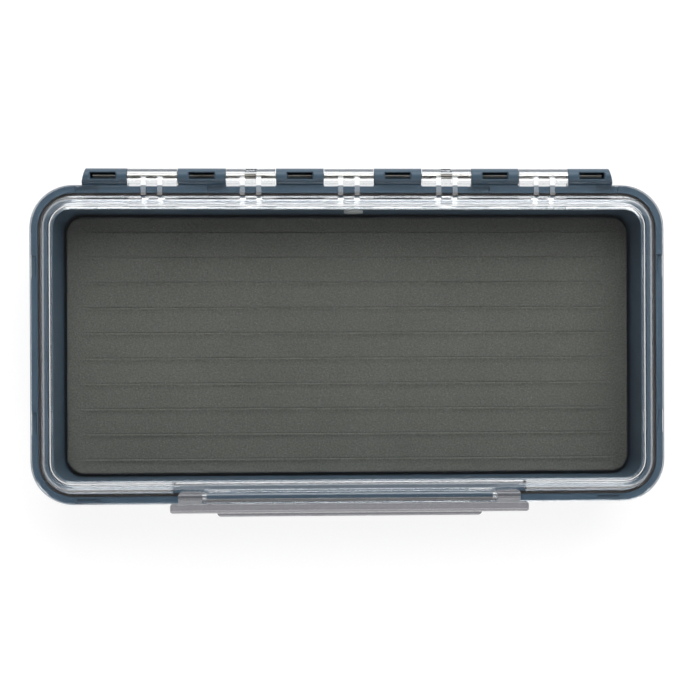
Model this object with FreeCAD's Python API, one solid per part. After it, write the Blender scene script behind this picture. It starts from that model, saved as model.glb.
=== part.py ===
# Waterproof fly box: a moulded tray with slit foam, a clear domed lid on a long pin and a snap-on latch.
# Millimetres. X runs along the hinge, +Y is the hinge side and +Z is up. The origin is the underside's middle.
import FreeCAD, Part
import math
import os

V = FreeCAD.Vector

# Whole box, closed
rim_length = 196.8
rim_width = 98.7
rim_corner_radius = 13.3
tray_height = 24.3
box_height = 31.8
overrun = 2.0
same_place = 0.01
quarter_turn = 90

# Tray
tray_floor = 1.8
tray_wall = 1.8
tray_draft_angle = 2.3
tray_foot_radius = 2.4
well_inset = 6.65
rim_setback = 0.25
skirt_height = 5.6
skirt_wall = 1.6
skirt_channel_depth = 2.0
skirt_edge_bevel = 0.4

# Seal and the lid's bead that presses on it
seal_inset = 2.3
seal_width = 1.1
seal_groove_depth = 2.2
seal_clearance = 0.05
bead_width = 0.6
bead_depth = 0.5

# Lid
lid_gap = 0.1
lid_wall = 2.0
flange_thickness = 2.0
flange_edge_bevel = 0.4
dome_foot_inset = 3.3
dome_slope_angle = 16.5
dome_crown_radius = 3.4
cavity_foot_inset = 5.7
cavity_slope_angle = 10.0
cavity_crown_radius = 1.6

# Locating pads under the flange and their notches in the tray's rim
pad_length = 6.7
pad_width = 1.7
pad_depth = 0.8
pad_clearance = 0.15
pad_end_inset = 17.5
pad_pitch = 40.3
pad_side_inset = 25.05

# Hinge
hinge_setback = 2.95
knuckle_count = 6
knuckle_end_inset = 15.1
knuckle_length = 14.76
knuckle_radius = 2.4
knuckle_root_depth = 4.7
knuckle_end_slant = 1.5
knuckle_end_trim = 0.6
barrel_radius = 2.3
barrel_side_gap = 0.2
barrel_heel_depth = 2.0
pin_diameter = 1.6
pin_clearance = 0.05
pin_end_inset = 4.2
window_length = 7.8
window_width = 2.0
window_flare = 0.5
window_below_axis = 1.0
rib_thickness = 1.55
rib_spacing = 5.07
rib_foot_rise = 2.05
rib_crown_rise = 0.65
rib_toe = 0.6

# Latch: arms, boss and the channel for them in the lid's front wall
pivot_inset = 2.5
arm_radius = 1.6
arm_width = 7.2
arm_inner_place = 45.6
arm_corner_radius = 1.4
arm_clearance = 0.2
arm_side_gap = 0.3
boss_radius = 1.95
boss_foot_width = 3.0
trunnion_diameter = 1.5
trunnion_length = 1.3
trunnion_clearance = 0.05
trunnion_end_gap = 0.1
channel_inset = 4.85
channel_half_length = 54.3
channel_corner_radius = 1.2

# Latch: front plate, hook and finger lip
plate_gap = 0.4
plate_thickness = 2.4
plate_half_length = 55.4
plate_rise = 0.9
plate_bottom = 17.0
plate_corner_radius = 0.9
plate_top_radius = 1.5
plate_edge_radius = 0.5
shelf_reach = 0.7
shelf_thickness = 2.0
hook_half_length = 41.7
hook_reach = 1.0
hook_clearance = 0.15
lip_half_length = 41.7
lip_reach = 1.9
lip_thickness = 1.7
lip_blend = 2.6
lip_corner_radius = 1.4
lip_edge_radius = 0.7

# Foam
foam_gap = 0.9
foam_thickness = 5.5
foam_corner_radius = 5.4
adhesive_thickness = 0.3
adhesive_inset = 0.5
slit_count = 10
slit_side_inset = 4.6
slit_width = 0.35
slit_depth = 3.5
slit_end_inset = 5.3

# Magnet disc in the hinge-side wall
magnet_diameter = 6.0
magnet_thickness = 2.0
magnet_proud = 0.8
magnet_clearance = 0.05
magnet_x = 1.5
magnet_height = 16.0

# Places that follow from the sizes above
half_length = rim_length / 2
half_width = rim_width / 2
skirt_bottom = tray_height - skirt_height
lid_bottom = tray_height + lid_gap
flange_top = lid_bottom + flange_thickness
bead_bottom = lid_bottom - bead_depth
hinge_y = half_width + hinge_setback
hinge_z = tray_height
pivot_y = pivot_inset - half_width
pivot_z = flange_top + arm_radius + arm_clearance
plate_inner_y = -half_width - plate_gap
plate_outer_y = plate_inner_y - plate_thickness
plate_top = pivot_z + plate_rise
pin_radius = pin_diameter / 2
knuckle_row_end = half_length - knuckle_end_inset
knuckle_row = 2 * knuckle_row_end - knuckle_length
knuckle_pitch = knuckle_row / (knuckle_count - 1)
knuckle_places = [i * knuckle_pitch - knuckle_row / 2 for i in range(knuckle_count)]
barrel_places = [x + knuckle_pitch / 2 for x in knuckle_places[:-1]]
barrel_length = knuckle_pitch - knuckle_length - 2 * barrel_side_gap
pad_end_place = half_length - pad_end_inset
pad_side_place = half_width - pad_side_inset


# Shapes that several pieces use

def rounded_rectangle(length, width, radius, z, middle_y=0):
    """Wire of a rounded rectangle at height z, with its middle on the YZ plane."""
    x_turn = length / 2 - radius
    y_turn = width / 2 - radius
    quarters = [(x_turn, y_turn), (-x_turn, y_turn), (-x_turn, -y_turn), (x_turn, -y_turn)]
    arcs = []
    for quarter, (x, y) in enumerate(quarters):
        start = quarter_turn * quarter
        centre = V(x, middle_y + y, z)
        arcs.append(Part.makeCircle(radius, centre, V(0, 0, 1), start, start + quarter_turn))
    edges = []
    for arc, following in zip(arcs, arcs[1:] + arcs[:1]):
        edges.append(arc)
        edges.append(Part.makeLine(arc.Vertexes[-1].Point, following.Vertexes[0].Point))
    return Part.Wire(edges)


def rim_outline(inset, z):
    """The rim's outline at height z, moved in by inset."""
    return rounded_rectangle(rim_length - 2 * inset, rim_width - 2 * inset, rim_corner_radius - inset, z)


def slab(inset, z_low, z_high):
    """Upright solid inside the rim's outline moved in by inset."""
    return Part.Face(rim_outline(inset, z_low)).extrude(V(0, 0, z_high - z_low))


def ring(outer_inset, inner_inset, z_low, z_high):
    """Upright band between two insets of the rim's outline."""
    return slab(outer_inset, z_low, z_high).cut(slab(inner_inset, z_low, z_high))


def drafted(low_inset, z_low, high_inset, z_high):
    """Solid whose walls lean from one inset at the bottom to another at the top."""
    return Part.makeLoft([rim_outline(low_inset, z_low), rim_outline(high_inset, z_high)], True, True)


def edges_at_height(shape, z):
    """The shape's level edges at height z."""
    boxes = [(edge, edge.BoundBox) for edge in shape.Edges]
    return [edge for edge, box in boxes if max(abs(box.ZMin - z), abs(box.ZMax - z)) < same_place]


def round_at_height(shape, z, radius):
    """The shape with its level edges at height z rounded."""
    return shape.makeFillet(radius, edges_at_height(shape, z))


def bevel_at_height(shape, z, size):
    """The shape with its level edges at height z bevelled."""
    return shape.makeChamfer(size, edges_at_height(shape, z))


def block(x_low, x_high, y_low, y_high, z_low, z_high):
    """Solid box between two corners."""
    return Part.makeBox(x_high - x_low, y_high - y_low, z_high - z_low, V(x_low, y_low, z_low))


def rod(radius, x_low, x_high, y, z):
    """Round bar along X."""
    return Part.makeCylinder(radius, x_high - x_low, V(x_low, y, z), V(1, 0, 0))


def profile_wire(corners, x):
    """Closed wire in the plane at x through (y, z, radius) corners, each rounded by its own radius."""
    points = [V(x, y, z) for y, z, radius in corners]
    pieces = []
    for i, point in enumerate(points):
        radius = corners[i][2]
        before = (points[i - 1] - point).normalize()
        after = (points[(i + 1) % len(points)] - point).normalize()
        half_angle = before.getAngle(after) / 2
        reach = radius / math.tan(half_angle)
        depth = radius / math.sin(half_angle) - radius
        middle = point + (before + after).normalize() * depth
        pieces.append((point + before * reach, middle, point + after * reach))
    edges = []
    for (start, middle, end), following in zip(pieces, pieces[1:] + pieces[:1]):
        if start.distanceToPoint(end) > same_place:
            edges.append(Part.Arc(start, middle, end).toShape())
        if end.distanceToPoint(following[0]) > same_place:
            edges.append(Part.makeLine(end, following[0]))
    return Part.Wire(edges)


def bar(corners, x_low, x_high):
    """Solid along X with the section that profile_wire draws."""
    return Part.Face(profile_wire(corners, x_low)).extrude(V(x_high - x_low, 0, 0))


# Tray

def well_inset_at(z):
    """Inset of the well's drafted wall at height z."""
    return well_inset + (tray_height - z) * math.tan(math.radians(tray_draft_angle))


def pad_footprints(clearance, z_low, z_high):
    """Blocks for the twelve locating pads along the rim, each grown by a clearance."""
    long_half = pad_length / 2 + clearance
    inward = pad_width + clearance
    blocks = []
    for place in (pad_end_place, pad_end_place - pad_pitch):
        for x in (-place, place):
            low, high = x - long_half, x + long_half
            blocks.append(block(low, high, half_width - inward, half_width, z_low, z_high))
            blocks.append(block(low, high, -half_width, inward - half_width, z_low, z_high))
    for y in (-pad_side_place, pad_side_place):
        low, high = y - long_half, y + long_half
        blocks.append(block(half_length - inward, half_length, low, high, z_low, z_high))
        blocks.append(block(-half_length, inward - half_length, low, high, z_low, z_high))
    return blocks


def knuckle(x):
    """Round tray knuckle at x on a root that leans down to the skirt."""
    x_low = x - knuckle_length / 2
    x_high = x + knuckle_length / 2
    root = bar(
        [
            (half_width - skirt_wall / 2, hinge_z, 0),
            (hinge_y, hinge_z, 0),
            (hinge_y, hinge_z - knuckle_radius, 0),
            (half_width - skirt_wall / 2, hinge_z - knuckle_root_depth, 0),
        ],
        x_low,
        x_high,
    )
    return rod(knuckle_radius, x_low, x_high, hinge_y, hinge_z).fuse(root)


def window(x):
    """Cutter for the flared opening that shows the pin in the top of a knuckle."""
    z_low = hinge_z - window_below_axis
    z_flare = hinge_z + knuckle_radius - window_flare
    z_high = hinge_z + knuckle_radius
    straight = block(
        x - window_length / 2,
        x + window_length / 2,
        hinge_y - window_width / 2,
        hinge_y + window_width / 2,
        z_low,
        z_high,
    )
    mouths = []
    for z, growth in ((z_flare, 0), (z_high, window_flare)):
        half_x = window_length / 2 + growth
        half_y = window_width / 2 + growth
        signs = [(-1, -1), (1, -1), (1, 1), (-1, 1)]
        corners = [V(x + sx * half_x, hinge_y + sy * half_y, z) for sx, sy in signs]
        mouths.append(Part.makePolygon(corners + corners[:1]))
    return straight.fuse(Part.makeLoft(mouths, True, True))


def end_slant(side):
    """Cutter that slants the outer end of the row of knuckles, on the side given as -1 or 1."""
    end = knuckle_row_end - knuckle_end_trim
    outer = end + knuckle_end_slant + overrun
    z_low = hinge_z - knuckle_root_depth - overrun
    y_rear = hinge_y + knuckle_radius
    slant_run = y_rear + overrun
    tail = knuckle_end_slant * (slant_run - half_width) / (y_rear - half_width)
    corners = [(end, half_width), (outer, half_width), (outer, slant_run), (end - tail, slant_run)]
    points = [V(side * x, y, z_low) for x, y in corners]
    face = Part.Face(Part.makePolygon(points + points[:1]))
    return face.extrude(V(0, 0, knuckle_root_depth + knuckle_radius + 2 * overrun))


def pin_bore(clearance, x_low, x_high):
    """Cutter for the hinge pin's bore."""
    return rod(pin_radius + clearance, x_low, x_high, hinge_y, hinge_z)


def tray():
    """Moulded tray: drafted body, channelled rim with a seal groove and notches, knuckles with windows."""
    body = drafted(well_inset_at(0) - tray_wall, 0, well_inset - tray_wall, tray_height)
    body = round_at_height(body, 0, tray_foot_radius)
    rim = bevel_at_height(slab(rim_setback, skirt_bottom, tray_height), skirt_bottom, skirt_edge_bevel)
    rim = rim.cut(slab(skirt_wall, skirt_bottom - overrun, skirt_bottom + skirt_channel_depth))
    shell = body.fuse([rim] + [knuckle(x) for x in knuckle_places])
    well_top = tray_height + overrun
    well = drafted(well_inset_at(tray_floor), tray_floor, well_inset_at(well_top), well_top)
    groove = ring(seal_inset, seal_inset + seal_width, tray_height - seal_groove_depth, well_top)
    notches = pad_footprints(pad_clearance, lid_bottom - pad_depth - pad_clearance, well_top)
    pin_start = -knuckle_row_end + pin_end_inset - pin_clearance
    bore = pin_bore(pin_clearance, pin_start, knuckle_row_end + overrun)
    magnet_seat = magnet(magnet_clearance, magnet_proud)
    cutters = [well, groove, bore, magnet_seat, end_slant(-1), end_slant(1)]
    cutters += notches + [window(x) for x in knuckle_places]
    return shell.cut(cutters).removeSplitter()


# Lid

def dome_inset_at(z):
    """Inset of the dome's outer wall at height z."""
    return dome_foot_inset + (z - flange_top) * math.tan(math.radians(dome_slope_angle))


def cavity_inset_at(z):
    """Inset of the dome's inner wall at height z."""
    return cavity_foot_inset + (z - lid_bottom) * math.tan(math.radians(cavity_slope_angle))


def latch_channel():
    """Cutter for the channel that the latch's arms lie in, in the front of the dome."""
    length = 2 * channel_half_length
    width = 2 * channel_inset
    outline = rounded_rectangle(length, width, channel_corner_radius, flange_top, -half_width)
    return Part.Face(outline).extrude(V(0, 0, box_height + overrun - flange_top))


def barrel(x):
    """Round lid barrel at x, with the web that joins it to the flange and a square heel below the web."""
    x_low = x - barrel_length / 2
    x_high = x + barrel_length / 2
    web = block(x_low, x_high, half_width - hinge_setback, hinge_y, lid_bottom, flange_top)
    heel = block(x_low, x_high, hinge_y - barrel_radius, hinge_y, hinge_z - barrel_heel_depth, lid_bottom)
    return rod(barrel_radius, x_low, x_high, hinge_y, hinge_z).fuse([web, heel])


def rib(x):
    """Rib that stiffens a barrel: it climbs gently from the barrel over the flange to the dome's wall."""
    rib_top = flange_top + rib_foot_rise
    dome_wall_y = half_width - dome_inset_at(rib_top)
    barrel_top = hinge_z + barrel_radius + rib_crown_rise
    corners = [
        (hinge_y, hinge_z + pin_radius + pin_clearance, 0),
        (hinge_y, barrel_top, 0),
        (dome_wall_y + rib_toe, rib_top, 0),
        (dome_wall_y - lid_wall / 2, rib_top, 0),
        (dome_wall_y - lid_wall / 2, lid_bottom + flange_thickness / 2, 0),
    ]
    return bar(corners, x - rib_thickness / 2, x + rib_thickness / 2)


def saddle(x):
    """Cutter that opens a barrel between its ribs, above the pin's middle, so that the pin lies bare."""
    half = (rib_spacing - rib_thickness) / 2
    y_far = hinge_y + barrel_radius + overrun
    return block(x - half, x + half, hinge_y - barrel_radius, y_far, hinge_z, flange_top + overrun)


def latch_boss():
    """Long round boss in the channel, on a foot that stands on the flange."""
    half = arm_inner_place - arm_side_gap
    y_low = pivot_y - boss_foot_width / 2
    foot = block(-half, half, y_low, y_low + boss_foot_width, flange_top - flange_thickness / 2, pivot_z)
    return rod(boss_radius, -half, half, pivot_y, pivot_z).fuse(foot)


def trunnion_holes():
    """Cutters for the blind holes in the ends of the boss."""
    half = arm_inner_place - arm_side_gap
    depth = trunnion_length - arm_side_gap + trunnion_end_gap
    radius = trunnion_diameter / 2 + trunnion_clearance
    left = rod(radius, -half - overrun, depth - half, pivot_y, pivot_z)
    right = rod(radius, half - depth, half + overrun, pivot_y, pivot_z)
    return [left, right]


def lid():
    """Clear lid: flange, crowned dome with the latch's channel, bead, pads, barrels, ribs and boss."""
    flange = bevel_at_height(slab(0, lid_bottom, flange_top), flange_top, flange_edge_bevel)
    dome = drafted(dome_foot_inset, flange_top, dome_inset_at(box_height), box_height)
    dome = round_at_height(dome, box_height, dome_crown_radius)
    outside = flange.fuse(dome).cut(latch_channel())
    ceiling = box_height - lid_wall
    low = lid_bottom - overrun
    cavity = drafted(cavity_inset_at(low), low, cavity_inset_at(ceiling), ceiling)
    cavity = round_at_height(cavity, ceiling, cavity_crown_radius)
    bead_inset = seal_inset + (seal_width - bead_width) / 2
    bead = ring(bead_inset, bead_inset + bead_width, bead_bottom, lid_bottom + flange_thickness / 2)
    pads = pad_footprints(0, lid_bottom - pad_depth, lid_bottom)
    ribs = [rib(x + side * rib_spacing / 2) for x in barrel_places for side in (-1, 1)]
    barrels = [barrel(x) for x in barrel_places]
    saddles = [saddle(x) for x in barrel_places[1::2]]
    shell = outside.cut(cavity).fuse([bead, latch_boss()] + pads + ribs + barrels)
    bore = pin_bore(pin_clearance, -knuckle_row_end, knuckle_row_end)
    return shell.cut([bore] + saddles + trunnion_holes()).removeSplitter()


# Latch

def latch_arm(side):
    """Arm at one end of the latch, round about the pivot, with its trunnion pointing inward."""
    inner = arm_inner_place
    outer = arm_inner_place + arm_width
    hub = rod(arm_radius, inner, outer, pivot_y, pivot_z)
    link_low = flange_top + arm_clearance
    link = [
        (pivot_y, pivot_z + arm_radius, 0),
        (pivot_y, link_low, 0),
        (plate_inner_y - plate_edge_radius, link_low, 0),
        (plate_inner_y - plate_edge_radius, plate_top - plate_edge_radius, 0),
    ]
    arm = hub.fuse(bar(link, inner, outer))
    depth = 2 * (pivot_y + arm_radius - plate_inner_y)
    plan = rounded_rectangle(2 * outer, depth, arm_corner_radius, link_low, plate_inner_y)
    arm = arm.common(Part.Face(plan).extrude(V(0, 0, 2 * arm_radius)))
    arm = arm.fuse(rod(trunnion_diameter / 2, inner - trunnion_length, inner, pivot_y, pivot_z))
    return arm if side > 0 else arm.mirror(V(0, 0, 0), V(1, 0, 0))


def front_plate():
    """Long front plate with a shelf along its top, rounded where the fingers meet it."""
    shelf_y = plate_inner_y + shelf_reach
    shelf_low = plate_top - shelf_thickness
    corners = [
        (plate_outer_y, plate_bottom, plate_edge_radius),
        (plate_outer_y, plate_top, plate_top_radius),
        (shelf_y, plate_top, plate_edge_radius),
        (shelf_y, shelf_low, plate_edge_radius),
        (plate_inner_y, shelf_low, plate_edge_radius),
        (plate_inner_y, plate_bottom, 0),
    ]
    plate = bar(corners, -plate_half_length, plate_half_length)
    depth = shelf_y - plate_outer_y
    plan_middle = (shelf_y + plate_outer_y) / 2
    plan = rounded_rectangle(2 * plate_half_length, depth, plate_corner_radius, plate_bottom, plan_middle)
    return plate.common(Part.Face(plan).extrude(V(0, 0, plate_top - plate_bottom)))


def hook():
    """Hook under the tray's skirt; its upper face is an arc about the pivot, so that it swings free."""
    tip_y = hook_reach - half_width
    tooth = block(
        -hook_half_length,
        hook_half_length,
        plate_inner_y - plate_thickness / 2,
        tip_y,
        plate_bottom,
        skirt_bottom,
    )
    corner_radius = math.hypot(-half_width - pivot_y, skirt_bottom - pivot_z)
    swing = rod(corner_radius + hook_clearance, -plate_half_length, plate_half_length, pivot_y, pivot_z)
    return tooth.cut(swing)


def finger_lip():
    """Flared lip along the bottom of the plate for the fingertip."""
    lip_y = plate_outer_y - lip_reach
    root_y = plate_outer_y + plate_thickness / 2
    corners = [
        (root_y, plate_bottom, 0),
        (lip_y, plate_bottom, lip_edge_radius),
        (lip_y, plate_bottom + lip_thickness, lip_edge_radius),
        (plate_outer_y, plate_bottom + lip_thickness, lip_edge_radius),
        (plate_outer_y, plate_bottom + lip_thickness + lip_blend, 0),
        (root_y, plate_bottom + lip_thickness + lip_blend, 0),
    ]
    lip = bar(corners, -lip_half_length, lip_half_length)
    depth = 2 * (root_y - lip_y)
    plan = rounded_rectangle(2 * lip_half_length, depth, lip_corner_radius, plate_bottom, root_y)
    return lip.common(Part.Face(plan).extrude(V(0, 0, lip_thickness + lip_blend)))


def latch():
    """One-piece latch lever."""
    return front_plate().fuse([latch_arm(-1), latch_arm(1), hook(), finger_lip()]).removeSplitter()


# Loose pieces that the tray carries

def lid_seal():
    """Silicone ring in the tray's groove, just under the lid's bead."""
    outer = seal_inset + seal_clearance
    inner = seal_inset + seal_width - seal_clearance
    return ring(outer, inner, tray_height - seal_groove_depth, bead_bottom - seal_clearance)


def hinge_pin():
    """Steel pin through every knuckle and barrel."""
    end = knuckle_row_end - pin_end_inset
    return pin_bore(0, -end, end)


def foam_inset():
    """Inset of the foam's edge from the rim's: the well's at the floor, and a gap."""
    return well_inset_at(tray_floor) + foam_gap


def foam_sheet(inset, z_low, thickness):
    """Rounded sheet of the foam's outline moved in by inset."""
    length = rim_length - 2 * (foam_inset() + inset)
    width = rim_width - 2 * (foam_inset() + inset)
    outline = rounded_rectangle(length, width, foam_corner_radius - inset, z_low)
    return Part.Face(outline).extrude(V(0, 0, thickness))


def foam_insert():
    """Foam slab with rows of slits that grip the hooks."""
    low = tray_floor + adhesive_thickness
    top = low + foam_thickness
    half = half_length - foam_inset() - slit_end_inset
    first = half_width - foam_inset() - slit_side_inset
    slit_pitch = 2 * first / (slit_count - 1)
    slits = []
    for row in range(slit_count):
        y = row * slit_pitch - first
        y_low = y - slit_width / 2
        slits.append(block(-half, half, y_low, y_low + slit_width, top - slit_depth, top + overrun))
    return foam_sheet(0, low, foam_thickness).cut(slits)


def foam_adhesive():
    """Adhesive sheet between the foam and the tray's floor."""
    return foam_sheet(adhesive_inset, tray_floor, adhesive_thickness)


def magnet(clearance, extra_length):
    """Round disc set in the hinge-side wall, or the cutter for its seat."""
    wall_y = half_width - well_inset_at(magnet_height)
    front = V(magnet_x, wall_y - magnet_proud - extra_length, magnet_height)
    length = magnet_thickness + extra_length
    return Part.makeCylinder(magnet_diameter / 2 + clearance, length, front, V(0, 1, 0))


pieces = {
    "tray": tray(),
    "lid": lid(),
    "lid_seal": lid_seal(),
    "hinge_pin": hinge_pin(),
    "latch": latch(),
    "foam_insert": foam_insert(),
    "foam_adhesive": foam_adhesive(),
    "wall_magnet": magnet(0, 0),
}
os.makedirs("parts", exist_ok=True)
for name, shape in pieces.items():
    shape.exportStep(f"parts/{name}.step")
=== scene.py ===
"""Waterproof fly box: finishes for the moulded parts, and the slit foam that lies in the tray."""
import math

import bmesh
import bpy
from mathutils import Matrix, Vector, noise


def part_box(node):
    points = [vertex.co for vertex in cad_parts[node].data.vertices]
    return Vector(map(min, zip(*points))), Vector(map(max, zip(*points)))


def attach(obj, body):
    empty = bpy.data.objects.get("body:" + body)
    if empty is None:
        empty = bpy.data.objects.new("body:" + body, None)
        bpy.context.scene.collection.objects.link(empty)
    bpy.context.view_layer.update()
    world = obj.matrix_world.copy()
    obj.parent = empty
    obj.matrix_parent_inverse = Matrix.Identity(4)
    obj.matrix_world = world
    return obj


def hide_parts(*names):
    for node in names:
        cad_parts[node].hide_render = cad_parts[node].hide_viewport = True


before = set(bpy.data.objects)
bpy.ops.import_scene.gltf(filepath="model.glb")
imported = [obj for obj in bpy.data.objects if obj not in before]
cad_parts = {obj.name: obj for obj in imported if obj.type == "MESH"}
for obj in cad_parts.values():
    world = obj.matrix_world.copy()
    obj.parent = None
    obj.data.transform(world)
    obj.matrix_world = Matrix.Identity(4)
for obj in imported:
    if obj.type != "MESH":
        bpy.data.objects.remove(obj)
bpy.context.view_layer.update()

MM = 0.001

# Camera, from the photograph's perspective: a long lens
# almost straight above the box, with the frame shifted
CAMERA_PLACE = Vector((-4.2, -7.4, 545.2)) * MM
CAMERA_TURN_DEGREES = (-0.12, -2.53, -0.24)
CAMERA_LENS = 85.9
CAMERA_SHIFT = (-0.0856, 0.0307)
SENSOR_WIDTH = 36.0

# Foam
FOAM_LOW, FOAM_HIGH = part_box("foam_insert")
FOAM_CORNER = 5.4 * MM
FOAM_EDGE_ROUND = 0.35 * MM
SLIT_ROWS = 10
SLIT_SIDE_INSET = 4.6 * MM
SLIT_END_INSET = 5.3 * MM
SLIT_DEPTH = 0.3 * MM
SLIT_LIP = 0.4 * MM
SLIT_LIP_DROP = 0.12 * MM
SLIT_LIP_RISE = 0.26 * MM
SLIT_MOUTH = 0.02 * MM
SLIT_WANDER = 0.02 * MM
SLIT_END_TAPER = 2.0 * MM
SLIT_FLANK_SHARE = 0.3
LIP_ROW_SHARES = (0.35, 0.6, 0.85, 1.15, 2, 3)
EDGE_ROWS = (0, 0.1, 0.3, 0.6, 1.0, 2.0, 4.0)
CORNER_SHARES = (0.35, 0.6, 0.75, 0.85, 0.92, 0.97, 1.0)
LENGTH_STEPS = 84
FOAM_PILLOW = 0.072 * MM
PILLOW_SCALE = 60
WANDER_SCALE = 90
WANDER_ROW_STEP = 7.0
WANDER_LAYER = 3.0
WELD_DISTANCE = 1e-6
SLIVER_LENGTH = 1e-7

FOAM_HALF_X = (FOAM_HIGH.x - FOAM_LOW.x) / 2
FOAM_HALF_Y = (FOAM_HIGH.y - FOAM_LOW.y) / 2
TURN_X = FOAM_HALF_X - FOAM_CORNER
TURN_Y = FOAM_HALF_Y - FOAM_CORNER
FIRST_SLIT = FOAM_HALF_Y - SLIT_SIDE_INSET
SLIT_PITCH = 2 * FIRST_SLIT / (SLIT_ROWS - 1)
SLIT_PLACES = [row * SLIT_PITCH - FIRST_SLIT for row in range(SLIT_ROWS)]
SLIT_FLANK = SLIT_FLANK_SHARE * SLIT_PITCH
SLIT_END = FOAM_HALF_X - SLIT_END_INSET

# Colours, linear
TRAY_BLUE_GREY = (0.055, 0.088, 0.122, 1)
LID_CLEAR = (0.935, 0.95, 0.958, 1)
CLEAR_WALL_SHADE = (0.93, 0.94, 0.95, 1)
LATCH_SMOKE = (0.33, 0.33, 0.35, 1)
SEAL_BLACK = (0.035, 0.028, 0.026, 1)
FOAM_GREY = (0.104, 0.105, 0.091, 1)
PIN_STEEL = (0.34, 0.33, 0.305, 1)
PIN_OIL = (0.155, 0.14, 0.115, 1)
NICKEL = (0.95, 0.95, 0.93, 1)
NICKEL_HAZE = (0.8, 0.8, 0.77, 1)
GLUE_CREAM = (0.5, 0.47, 0.38, 1)

# Refraction of the plastics and of their polished skin
LID_IOR = 1.58
LATCH_IOR = 1.45
SKIN_IOR = 1.7
LATCH_CLARITY = 0.78

# Fineness of the surface textures, as scales per metre
CLOUD_SCALE = 38.0
SHRINK_SCALE = 260.0
TRAY_GRAIN = 2500.0
LATCH_GRAIN = 4000.0
SCUFF_PLACES = 30.0
FOAM_SPECKLE = 2000.0
FOAM_CELL = 1500.0
FOAM_CLOUDS = 45.0
WIRE_LINES = 900.0
WIRE_STAINS = 160.0

# Studio: the table, the lamps and the brightness of the tent's walls
TABLE_HALF = 3.0
TABLE_DROP = 0.2 * MM
TABLE_PAPER = (0.86, 0.86, 0.86, 1)
TABLE_PAPER_SEEN = (0.22, 0.22, 0.22, 1)
TABLE_GLOW = 0.84
LAMP_TARGET = (0, 0, 0.02)
KEY_SOFTBOX = {"place": (0.18, 0.64, 0.68), "width": 1.1, "height": 0.8, "watts": 11.5}
FRONT_FILL = {"place": (0.05, -0.75, 0.4), "width": 0.9, "height": 0.5, "watts": 2.4}
TENT_LIGHT = 0.8
SEEN_THROUGH_SHARE = 0.85
PANEL_BRIGHTNESS = 1.5
STRIP_BRIGHTNESS = 1.6
BACK_BRIGHTNESS = 0.55
FRONT_BRIGHTNESS = 0.6

# Where the tent's parts fade in and out, along the view's direction:
# sideways for the first, forwards and backwards for the next six, upwards for the last two
PANEL_SIDES = (0.28, 0.42)
PANEL_TOP = (0.35, 0.5)
PANEL_FOOT = (0.75, 0.88)
BACK_WALL = (0.28, 0.45)
STRIP_TOP = (-0.58, -0.68)
STRIP_FOOT = (-0.78, -0.86)
FRONT_WALL = (-0.7, -0.85)
DARK_ROOF = (0.4, 0.85)
MIRRORED_ROOF = (0.3, 0.9)


# Shader building

def add_node(tree, kind, **settings):
    """New node in a tree, with its properties set."""
    node = tree.nodes.new(kind)
    for name, value in settings.items():
        setattr(node, name, value)
    return node


def feed(tree, socket, source):
    """Gives an input socket a plain value or a link."""
    if isinstance(source, bpy.types.NodeSocket):
        tree.links.new(source, socket)
    else:
        socket.default_value = source


def maths(tree, operation, *values, clamp=False):
    """Output of a Math node."""
    node = add_node(tree, "ShaderNodeMath", operation=operation, use_clamp=clamp)
    for socket, value in zip(node.inputs, values):
        feed(tree, socket, value)
    return node.outputs[0]


def mix_colour(tree, factor, first, second):
    """Output of a colour Mix node."""
    node = add_node(tree, "ShaderNodeMix", data_type="RGBA")
    feed(tree, node.inputs["Factor"], factor)
    feed(tree, node.inputs["A"], first)
    feed(tree, node.inputs["B"], second)
    return node.outputs["Result"]


def remap(tree, value, low, high, to_low, to_high):
    """Output of a clamped Map Range node."""
    node = add_node(tree, "ShaderNodeMapRange")
    for socket, number in zip(node.inputs, (value, low, high, to_low, to_high)):
        feed(tree, socket, number)
    return node.outputs["Result"]


def grain_noise(tree, coordinates, scale, detail=3.0, roughness=0.55, stretch=None):
    """Factor of a Noise texture, with its coordinates stretched if asked."""
    if stretch:
        mapping = add_node(tree, "ShaderNodeMapping")
        tree.links.new(coordinates, mapping.inputs["Vector"])
        mapping.inputs["Scale"].default_value = stretch
        coordinates = mapping.outputs["Vector"]
    node = add_node(tree, "ShaderNodeTexNoise")
    tree.links.new(coordinates, node.inputs["Vector"])
    feed(tree, node.inputs["Scale"], scale)
    node.inputs["Detail"].default_value = detail
    node.inputs["Roughness"].default_value = roughness
    return node.outputs["Fac"]


def start_group(name, inputs, outputs):
    """Empty node group with named sockets: returns its tree, its inputs and its output node."""
    tree = bpy.data.node_groups.new(name, "ShaderNodeTree")
    for label, kind, value in inputs:
        socket = tree.interface.new_socket(name=label, in_out="INPUT", socket_type=kind)
        socket.default_value = value
    for label, kind in outputs:
        tree.interface.new_socket(name=label, in_out="OUTPUT", socket_type=kind)
    given = tree.nodes.new("NodeGroupInput").outputs
    return tree, given, tree.nodes.new("NodeGroupOutput").inputs


def place_group(tree, group, **values):
    """Puts a group in a material with its own values; underscores in names stand for spaces."""
    node = add_node(tree, "ShaderNodeGroup", node_tree=group)
    for label, value in values.items():
        feed(tree, node.inputs[label.replace("_", " ")], value)
    return node.outputs


FLOAT = "NodeSocketFloat"
COLOUR = "NodeSocketColor"


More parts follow.
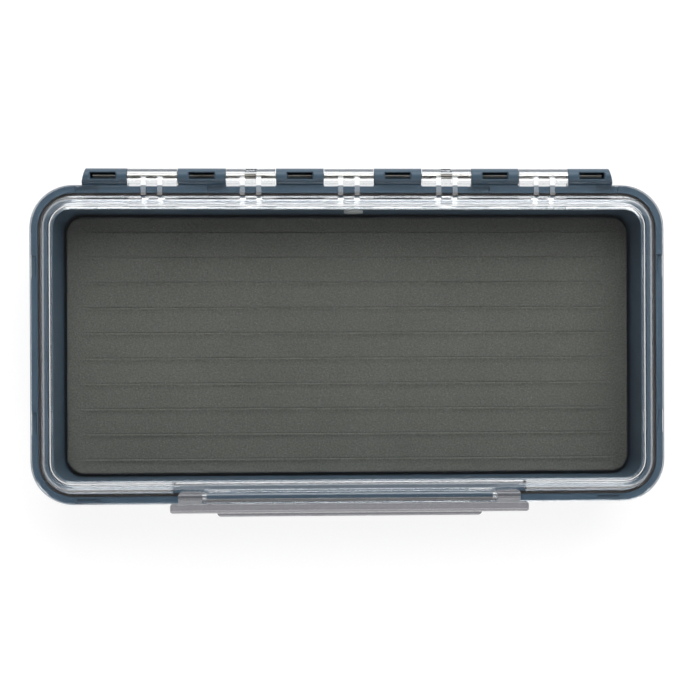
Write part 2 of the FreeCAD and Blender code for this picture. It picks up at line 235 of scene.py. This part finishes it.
def moulding_group():
    """Injection moulding: fine spark grain, slow waves of shrinkage, cloudy colour."""
    tree, given, out = start_group(
        "moulded skin",
        [
            ("Colour", COLOUR, (0.5, 0.5, 0.5, 1)),
            ("Colour spread", FLOAT, 0.1),
            ("Grain size", FLOAT, TRAY_GRAIN),
            ("Roughness", FLOAT, 0.4),
            ("Roughness spread", FLOAT, 0.08),
            ("Grain share", FLOAT, 0.6),
        ],
        [("Colour", COLOUR), ("Roughness", FLOAT), ("Height", FLOAT)],
    )
    place = add_node(tree, "ShaderNodeTexCoord").outputs["Object"]
    fine = grain_noise(tree, place, given["Grain size"], 2.0)
    clouds = grain_noise(tree, place, CLOUD_SCALE, 4.0)
    patches = grain_noise(tree, place, SHRINK_SCALE, 5.0, 0.65)
    swing = maths(tree, "SUBTRACT", clouds, 0.5)
    swing = maths(tree, "MULTIPLY", swing, given["Colour spread"])
    tone = maths(tree, "MULTIPLY_ADD", swing, 2.0, 1.0)
    bright = add_node(tree, "ShaderNodeVectorMath", operation="SCALE")
    tree.links.new(given["Colour"], bright.inputs[0])
    tree.links.new(tone, bright.inputs["Scale"])
    tree.links.new(bright.outputs[0], out["Colour"])
    rough_swing = maths(tree, "SUBTRACT", patches, 0.5)
    spread = given["Roughness spread"]
    rough = maths(tree, "MULTIPLY_ADD", rough_swing, spread, given["Roughness"])
    tree.links.new(rough, out["Roughness"])
    slow = maths(tree, "SUBTRACT", 1.0, given["Grain share"])
    height = maths(tree, "MULTIPLY", fine, given["Grain share"])
    height = maths(tree, "MULTIPLY_ADD", patches, slow, height)
    tree.links.new(height, out["Height"])
    return tree


def scuff_group():
    """Hairline scuffs from a pocket: thin streaks in two directions, as a mask."""
    tree, given, out = start_group(
        "pocket scuffs",
        [("Amount", FLOAT, 0.3), ("Size", FLOAT, 90.0)],
        [("Mask", FLOAT)],
    )
    place = add_node(tree, "ShaderNodeTexCoord").outputs["Object"]
    streaks = []
    for stretch, turn in (((1.0, 26.0, 26.0), 0.5), ((24.0, 1.0, 24.0), -0.4)):
        mapping = add_node(tree, "ShaderNodeMapping")
        tree.links.new(place, mapping.inputs["Vector"])
        mapping.inputs["Rotation"].default_value = (0, 0, turn)
        line = grain_noise(tree, mapping.outputs["Vector"], given["Size"], 3.0, 0.6, stretch)
        streaks.append(remap(tree, line, 0.66, 0.74, 0.0, 1.0))
    both = maths(tree, "MAXIMUM", *streaks)
    where = grain_noise(tree, place, SCUFF_PLACES, 2.0)
    where = remap(tree, where, 0.45, 0.65, 0.0, 1.0)
    mask = maths(tree, "MULTIPLY", both, where)
    mask = maths(tree, "MULTIPLY", mask, given["Amount"])
    tree.links.new(mask, out["Mask"])
    return tree


def foam_cell_group():
    """Closed-cell foam: tiny bubbles cut open at the skin, lighter and darker in patches."""
    tree, given, out = start_group(
        "foam cells",
        [
            ("Colour", COLOUR, (0.1, 0.1, 0.1, 1)),
            ("Cell size", FLOAT, FOAM_CELL),
            ("Colour spread", FLOAT, 0.2),
        ],
        [("Colour", COLOUR), ("Height", FLOAT), ("Roughness", FLOAT)],
    )
    place = add_node(tree, "ShaderNodeTexCoord").outputs["Object"]
    cells = add_node(tree, "ShaderNodeTexVoronoi", feature="F1")
    tree.links.new(place, cells.inputs["Vector"])
    tree.links.new(given["Cell size"], cells.inputs["Scale"])
    speckle = grain_noise(tree, place, FOAM_SPECKLE, 4.0, 0.7)
    patches = grain_noise(tree, place, FOAM_CLOUDS, 3.0)
    pore = remap(tree, cells.outputs["Distance"], 0.1, 0.6, 0.0, 1.0)
    grain = maths(tree, "MULTIPLY_ADD", speckle, 2.0, -1.0)
    cloud = maths(tree, "MULTIPLY_ADD", patches, 0.2, -0.1)
    swing = maths(tree, "ADD", grain, cloud)
    tone = maths(tree, "MULTIPLY_ADD", swing, given["Colour spread"], 1.0)
    bright = add_node(tree, "ShaderNodeVectorMath", operation="SCALE")
    tree.links.new(given["Colour"], bright.inputs[0])
    tree.links.new(tone, bright.inputs["Scale"])
    tree.links.new(bright.outputs[0], out["Colour"])
    height = maths(tree, "MULTIPLY_ADD", speckle, 1.5, pore)
    tree.links.new(height, out["Height"])
    tree.links.new(remap(tree, speckle, 0.3, 0.7, 0.8, 0.95), out["Roughness"])
    return tree


def drawn_wire_group():
    """Drawn steel: fine lines along the wire, with a little oil stain."""
    tree, given, out = start_group(
        "drawn wire",
        [("Colour", COLOUR, (0.6, 0.6, 0.6, 1)), ("Stain", COLOUR, (0.2, 0.18, 0.14, 1))],
        [("Colour", COLOUR), ("Roughness", FLOAT), ("Height", FLOAT)],
    )
    place = add_node(tree, "ShaderNodeTexCoord").outputs["Object"]
    lines = grain_noise(tree, place, WIRE_LINES, 3.0, 0.6, (0.03, 1.0, 1.0))
    stains = grain_noise(tree, place, WIRE_STAINS, 4.0)
    factor = remap(tree, stains, 0.45, 0.7, 0.0, 0.7)
    stained = mix_colour(tree, factor, given["Colour"], given["Stain"])
    tree.links.new(stained, out["Colour"])
    tree.links.new(remap(tree, lines, 0.3, 0.7, 0.25, 0.45), out["Roughness"])
    tree.links.new(lines, out["Height"])
    return tree


MOULDED = moulding_group()
SCUFFS = scuff_group()
FOAM_CELLS = foam_cell_group()
DRAWN_WIRE = drawn_wire_group()


def start_material(name):
    """New material: returns it with its tree and its Principled shader."""
    material = bpy.data.materials.new(name)
    material.use_nodes = True
    tree = material.node_tree
    return material, tree, tree.nodes["Principled BSDF"]


def bump(tree, height, strength, distance):
    """Normal of a Bump node."""
    node = add_node(tree, "ShaderNodeBump")
    node.inputs["Strength"].default_value = strength
    node.inputs["Distance"].default_value = distance
    tree.links.new(height, node.inputs["Height"])
    return node.outputs["Normal"]


def let_lamps_through(material, tree, shader):
    """Lets lamp light pass a clear wall, as it does through thin plastic."""
    path = add_node(tree, "ShaderNodeLightPath")
    clear = add_node(tree, "ShaderNodeBsdfTransparent")
    clear.inputs["Color"].default_value = CLEAR_WALL_SHADE
    mix = add_node(tree, "ShaderNodeMixShader")
    tree.links.new(path.outputs["Is Shadow Ray"], mix.inputs["Fac"])
    tree.links.new(shader.outputs["BSDF"], mix.inputs[1])
    tree.links.new(clear.outputs["BSDF"], mix.inputs[2])
    tree.links.new(mix.outputs["Shader"], tree.nodes["Material Output"].inputs["Surface"])
    return material


def moulded_material(name, colour, roughness):
    """Opaque moulded plastic with grain, cloudy colour and light scuffs."""
    material, tree, shader = start_material(name)
    skin = place_group(
        tree, MOULDED, Colour=colour, Colour_spread=0.1, Grain_size=TRAY_GRAIN,
        Roughness=roughness,
    )
    scuffs = place_group(tree, SCUFFS, Amount=0.35)["Mask"]
    scuffed = tuple(min(1, part * 1.6 + 0.02) for part in colour[:3]) + (1,)
    pale = mix_colour(tree, scuffs, skin["Colour"], scuffed)
    rough = maths(tree, "MULTIPLY_ADD", scuffs, 0.25, skin["Roughness"])
    tree.links.new(pale, shader.inputs["Base Color"])
    tree.links.new(rough, shader.inputs["Roughness"])
    tree.links.new(bump(tree, skin["Height"], 0.25, 0.04 * MM), shader.inputs["Normal"])
    return material


def clear_lid_plastic():
    """Polished clear plastic of the lid."""
    material, tree, shader = start_material("polished clear plastic")
    skin = place_group(
        tree, MOULDED, Colour=LID_CLEAR, Colour_spread=0.01, Roughness=0.02,
        Roughness_spread=0.01, Grain_share=0.1,
    )
    scuffs = place_group(tree, SCUFFS, Amount=0.08, Size=120.0)["Mask"]
    rough = maths(tree, "MULTIPLY_ADD", scuffs, 0.3, skin["Roughness"], clamp=True)
    tree.links.new(skin["Colour"], shader.inputs["Base Color"])
    tree.links.new(rough, shader.inputs["Roughness"])
    tree.links.new(bump(tree, skin["Height"], 0.01, 0.01 * MM), shader.inputs["Normal"])
    shader.inputs["Transmission Weight"].default_value = 1.0
    shader.inputs["IOR"].default_value = LID_IOR
    shader.inputs["Coat Weight"].default_value = 1.0
    shader.inputs["Coat Roughness"].default_value = 0.03
    shader.inputs["Coat IOR"].default_value = SKIN_IOR
    return let_lamps_through(material, tree, shader)


def frosted_latch_plastic():
    """Frosted translucent plastic of the latch."""
    material, tree, shader = start_material("frosted latch plastic")
    skin = place_group(
        tree, MOULDED, Colour=LATCH_SMOKE, Colour_spread=0.04, Grain_size=LATCH_GRAIN,
        Roughness=0.13, Roughness_spread=0.08,
    )
    scuffs = place_group(tree, SCUFFS, Amount=0.3)["Mask"]
    rough = maths(tree, "MULTIPLY_ADD", scuffs, 0.2, skin["Roughness"])
    tree.links.new(skin["Colour"], shader.inputs["Base Color"])
    tree.links.new(rough, shader.inputs["Roughness"])
    tree.links.new(bump(tree, skin["Height"], 0.1, 0.02 * MM), shader.inputs["Normal"])
    shader.inputs["Transmission Weight"].default_value = LATCH_CLARITY
    shader.inputs["IOR"].default_value = LATCH_IOR
    shader.inputs["Coat Weight"].default_value = 1.0
    shader.inputs["Coat Roughness"].default_value = 0.12
    shader.inputs["Coat IOR"].default_value = SKIN_IOR
    return let_lamps_through(material, tree, shader)


def foam_material():
    """Dark grey closed-cell foam."""
    material, tree, shader = start_material("slit foam")
    cells = place_group(
        tree, FOAM_CELLS, Colour=FOAM_GREY, Cell_size=FOAM_CELL, Colour_spread=1.2
    )
    tree.links.new(cells["Colour"], shader.inputs["Base Color"])
    tree.links.new(cells["Roughness"], shader.inputs["Roughness"])
    tree.links.new(bump(tree, cells["Height"], 0.35, 0.1 * MM), shader.inputs["Normal"])
    shader.inputs["Sheen Weight"].default_value = 0.1
    return material


def steel_material(name, colour, stain, dulled=0.0, metallic=1.0):
    """Drawn or plated metal, duller and milkier if asked."""
    material, tree, shader = start_material(name)
    wire = place_group(tree, DRAWN_WIRE, Colour=colour, Stain=stain)
    tree.links.new(wire["Colour"], shader.inputs["Base Color"])
    rough = maths(tree, "ADD", wire["Roughness"], dulled)
    tree.links.new(rough, shader.inputs["Roughness"])
    tree.links.new(bump(tree, wire["Height"], 0.15, 0.02 * MM), shader.inputs["Normal"])
    shader.inputs["Metallic"].default_value = metallic
    return material


def dress(node, material):
    """Gives a carried-over part its finish."""
    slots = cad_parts[node].data.materials
    slots.clear()
    slots.append(material)


# Foam slab

def steps(low, high, count):
    """Evenly spaced values from low to high."""
    return [low + (high - low) * i / count for i in range(count + 1)]


def edge_x(y):
    """Half length of the slab at y."""
    beyond = max(0.0, abs(y) - TURN_Y)
    return TURN_X + math.sqrt(max(0.0, FOAM_CORNER ** 2 - beyond ** 2))


def edge_distance(x, y):
    """Distance from a point to the slab's outline."""
    dx, dy = abs(x) - TURN_X, abs(y) - TURN_Y
    if dx > 0 and dy > 0:
        return FOAM_CORNER - math.hypot(dx, dy)
    return min(FOAM_HALF_X - abs(x), FOAM_HALF_Y - abs(y))


def foam_top(x, y):
    """Height of the foam's top at a point: rounded edge, pillowed face, raised lips, slits."""
    z = FOAM_HIGH.z
    inward = min(FOAM_EDGE_ROUND, max(0.0, edge_distance(x, y)))
    gap = FOAM_EDGE_ROUND - inward
    z -= FOAM_EDGE_ROUND - math.sqrt(max(0.0, FOAM_EDGE_ROUND ** 2 - gap ** 2))
    ripple = noise.noise(Vector((x * PILLOW_SCALE, y * PILLOW_SCALE, 0.0)))
    z -= FOAM_PILLOW * (0.5 + 0.5 * ripple)
    slit = min(SLIT_PLACES, key=lambda s: abs(s - y))
    off = abs(y - slit)
    open_share = min(1.0, max(0.0, (SLIT_END - abs(x)) / SLIT_END_TAPER))
    if y < slit:
        climb = min(off / SLIT_LIP, 1.5 - 0.5 * off / SLIT_LIP)
        z += SLIT_LIP_RISE * open_share * max(0.0, climb)
    else:
        z -= SLIT_LIP_DROP * open_share * max(0.0, 1 - off / SLIT_LIP) ** 2
    if off < 0.5 * SLIT_MOUTH:
        z -= SLIT_DEPTH * open_share
    return z


def foam_lines():
    """Places of the mesh's long lines: close together at the edges and at each slit."""
    lip_places = [SLIT_MOUTH] + [share * SLIT_LIP for share in LIP_ROW_SHARES] + [SLIT_FLANK]
    ys = {round(s * (FOAM_HALF_Y - p * FOAM_EDGE_ROUND), 7) for p in EDGE_ROWS for s in (-1, 1)}
    for slit in SLIT_PLACES:
        ys.add(round(slit, 7))
        ys.update(round(slit + s * p, 7) for p in lip_places for s in (-1, 1))
    return sorted(ys)


def foam_face(mesh):
    """Top of the slab, with slits that wander a little: returns its vertices line by line."""
    inner = steps(-TURN_X, TURN_X, LENGTH_STEPS)
    grid = []
    for y in foam_lines():
        limit = edge_x(y)
        tips = [TURN_X + share * (limit - TURN_X) for share in CORNER_SHARES]
        xs = [-x for x in reversed(tips)] + inner + tips
        row = min(range(SLIT_ROWS), key=lambda i: abs(SLIT_PLACES[i] - y))
        near = max(0.0, 1 - abs(y - SLIT_PLACES[row]) / SLIT_FLANK)
        line = []
        for x in xs:
            sway = noise.noise(Vector((x * WANDER_SCALE, row * WANDER_ROW_STEP, WANDER_LAYER)))
            shift = SLIT_WANDER * near * sway
            line.append(mesh.verts.new((x, y + shift, foam_top(x, y))))
        grid.append(line)
    for low_line, high_line in zip(grid, grid[1:]):
        for i in range(len(low_line) - 1):
            mesh.faces.new((low_line[i], low_line[i + 1], high_line[i + 1], high_line[i]))
    return grid


def close_below(mesh, grid):
    """Sides and underside of the slab, from the outline of its top."""
    right_side = [line[-1] for line in grid[1:-1]]
    left_side = [line[0] for line in grid[-2:0:-1]]
    rim = grid[0] + right_side + grid[-1][::-1] + left_side
    foot = [mesh.verts.new((v.co.x, v.co.y, FOAM_LOW.z)) for v in rim]
    for i, v in enumerate(rim):
        j = (i + 1) % len(rim)
        mesh.faces.new((v, foot[i], foot[j], rim[j]))
    mesh.faces.new(foot[::-1])


def foam_slab():
    """Foam slab with rounded edges, a slightly pillowed top and rows of closed slits."""
    mesh = bmesh.new()
    close_below(mesh, foam_face(mesh))
    bmesh.ops.remove_doubles(mesh, verts=mesh.verts, dist=WELD_DISTANCE)
    bmesh.ops.dissolve_degenerate(mesh, edges=mesh.edges, dist=SLIVER_LENGTH)
    bmesh.ops.recalc_face_normals(mesh, faces=mesh.faces)
    for face in mesh.faces:
        face.smooth = True
    data = bpy.data.meshes.new("foam_slab")
    mesh.to_mesh(data)
    mesh.free()
    slab = bpy.data.objects.new("foam_slab", data)
    bpy.context.scene.collection.objects.link(slab)
    data.materials.append(foam_material())
    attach(slab, "tray")
    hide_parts("foam_insert")


# Stage

def seen_directly(tree):
    """1 for what the camera sees, also by way of metal or clear plastic; 0 for lighting."""
    path = add_node(tree, "ShaderNodeLightPath")
    seen = maths(tree, "MAXIMUM", path.outputs["Is Camera Ray"], path.outputs["Is Glossy Ray"])
    seen = maths(tree, "MAXIMUM", seen, path.outputs["Is Transmission Ray"])
    straight = maths(tree, "LESS_THAN", path.outputs["Diffuse Depth"], 0.5)
    return maths(tree, "MULTIPLY", seen, straight)


def pale_floor():
    """Pale table that goes on out of sight and keeps the object's shadow."""
    data = bpy.data.meshes.new("floor")
    signs = ((-1, -1), (1, -1), (1, 1), (-1, 1))
    corners = [(x * TABLE_HALF, y * TABLE_HALF, 0) for x, y in signs]
    data.from_pydata(corners, [], [(0, 1, 2, 3)])
    floor = bpy.data.objects.new("floor", data)
    bpy.context.scene.collection.objects.link(floor)
    floor.location.z = -TABLE_DROP
    material, tree, shader = start_material("pale table")
    seen = seen_directly(tree)
    paper = mix_colour(tree, seen, TABLE_PAPER, TABLE_PAPER_SEEN)
    tree.links.new(paper, shader.inputs["Base Color"])
    shader.inputs["Roughness"].default_value = 0.8
    shader.inputs["Specular IOR Level"].default_value = 0.1
    shader.inputs["Emission Color"].default_value = (1, 1, 1, 1)
    glow = maths(tree, "MULTIPLY", seen, TABLE_GLOW)
    tree.links.new(glow, shader.inputs["Emission Strength"])
    data.materials.append(material)


def studio_world():
    """White tent, dark overhead; mirrored, it shows a light panel behind and a strip in front."""
    world = bpy.data.worlds.new("studio")
    bpy.context.scene.world = world
    world.use_nodes = True
    tree = world.node_tree
    background = tree.nodes["Background"]
    background.inputs["Color"].default_value = (1, 1, 1, 1)
    direction = add_node(tree, "ShaderNodeTexCoord").outputs["Generated"]
    split = add_node(tree, "ShaderNodeSeparateXYZ")
    tree.links.new(direction, split.inputs["Vector"])
    along, upward = split.outputs["Y"], split.outputs["Z"]
    sideways = maths(tree, "ABSOLUTE", split.outputs["X"])
    middle = remap(tree, sideways, *PANEL_SIDES, 1.0, 0.0)
    plain = remap(tree, upward, *DARK_ROOF, 1.0, 0.04)
    ends = remap(tree, upward, *MIRRORED_ROOF, 0.22, 0.03)
    panel_top = remap(tree, along, *PANEL_TOP, 0.0, PANEL_BRIGHTNESS)
    panel_foot = remap(tree, along, *PANEL_FOOT, 1.0, 0.0)
    panel = maths(tree, "MULTIPLY", panel_top, panel_foot)
    back_wall = remap(tree, along, *BACK_WALL, 0.0, BACK_BRIGHTNESS)
    back = maths(tree, "MULTIPLY_ADD", panel, middle, back_wall)
    strip_top = remap(tree, along, *STRIP_TOP, 0.0, STRIP_BRIGHTNESS)
    strip_foot = remap(tree, along, *STRIP_FOOT, 1.0, 0.0)
    strip = maths(tree, "MULTIPLY", strip_top, strip_foot)
    front_wall = remap(tree, along, *FRONT_WALL, 0.0, FRONT_BRIGHTNESS)
    front = maths(tree, "MULTIPLY_ADD", strip, middle, front_wall)
    tent = maths(tree, "MAXIMUM", ends, maths(tree, "MAXIMUM", back, front))
    path = add_node(tree, "ShaderNodeLightPath")
    refracted = path.outputs["Is Transmission Ray"]
    through = remap(tree, refracted, 0.0, 1.0, 1.0, SEEN_THROUGH_SHARE)
    plain = maths(tree, "MULTIPLY", plain, through)
    mirrored = maths(tree, "MULTIPLY", path.outputs["Is Glossy Ray"], seen_directly(tree))
    brightness = add_node(tree, "ShaderNodeMix", data_type="FLOAT")
    for label, source in (("Factor", mirrored), ("A", plain), ("B", tent)):
        feed(tree, brightness.inputs[label], source)
    lighting = remap(tree, seen_directly(tree), 0.0, 1.0, TENT_LIGHT, 1.0)
    strength = maths(tree, "MULTIPLY", brightness.outputs["Result"], lighting)
    tree.links.new(strength, background.inputs["Strength"])


def softbox(name, place, width, height, watts):
    """Flat area lamp that faces the box; where it would be mirrored, the tent's walls show."""
    data = bpy.data.lights.new(name, "AREA")
    data.shape = "RECTANGLE"
    data.size = width
    data.size_y = height
    data.energy = watts
    lamp = bpy.data.objects.new(name, data)
    bpy.context.scene.collection.objects.link(lamp)
    lamp.location = place
    lamp.visible_glossy = False
    aim = Vector(LAMP_TARGET) - Vector(place)
    lamp.rotation_euler = aim.to_track_quat("-Z", "Y").to_euler()


def camera():
    """Camera at the photograph's viewing angle."""
    data = bpy.data.cameras.new("camera")
    data.lens = CAMERA_LENS
    data.sensor_width = SENSOR_WIDTH
    data.shift_x, data.shift_y = CAMERA_SHIFT
    eye = bpy.data.objects.new("camera", data)
    bpy.context.scene.collection.objects.link(eye)
    eye.location = CAMERA_PLACE
    eye.rotation_euler = [math.radians(a) for a in CAMERA_TURN_DEGREES]
    bpy.context.scene.camera = eye


camera()
bpy.context.scene.view_settings.view_transform = "Standard"
studio_world()
pale_floor()
softbox("key softbox", **KEY_SOFTBOX)
softbox("front fill", **FRONT_FILL)

dress("tray", moulded_material("blue grey moulded plastic", TRAY_BLUE_GREY, roughness=0.38))
dress("lid", clear_lid_plastic())
dress("latch", frosted_latch_plastic())
dress("lid_seal", moulded_material("dark silicone", SEAL_BLACK, roughness=0.5))
dress("hinge_pin", steel_material("drawn steel", PIN_STEEL, PIN_OIL))
plated = steel_material("nickel plate", NICKEL, NICKEL_HAZE, dulled=0.35, metallic=0.72)
dress("wall_magnet", plated)
dress("foam_adhesive", moulded_material("adhesive sheet", GLUE_CREAM, roughness=0.6))
foam_slab()
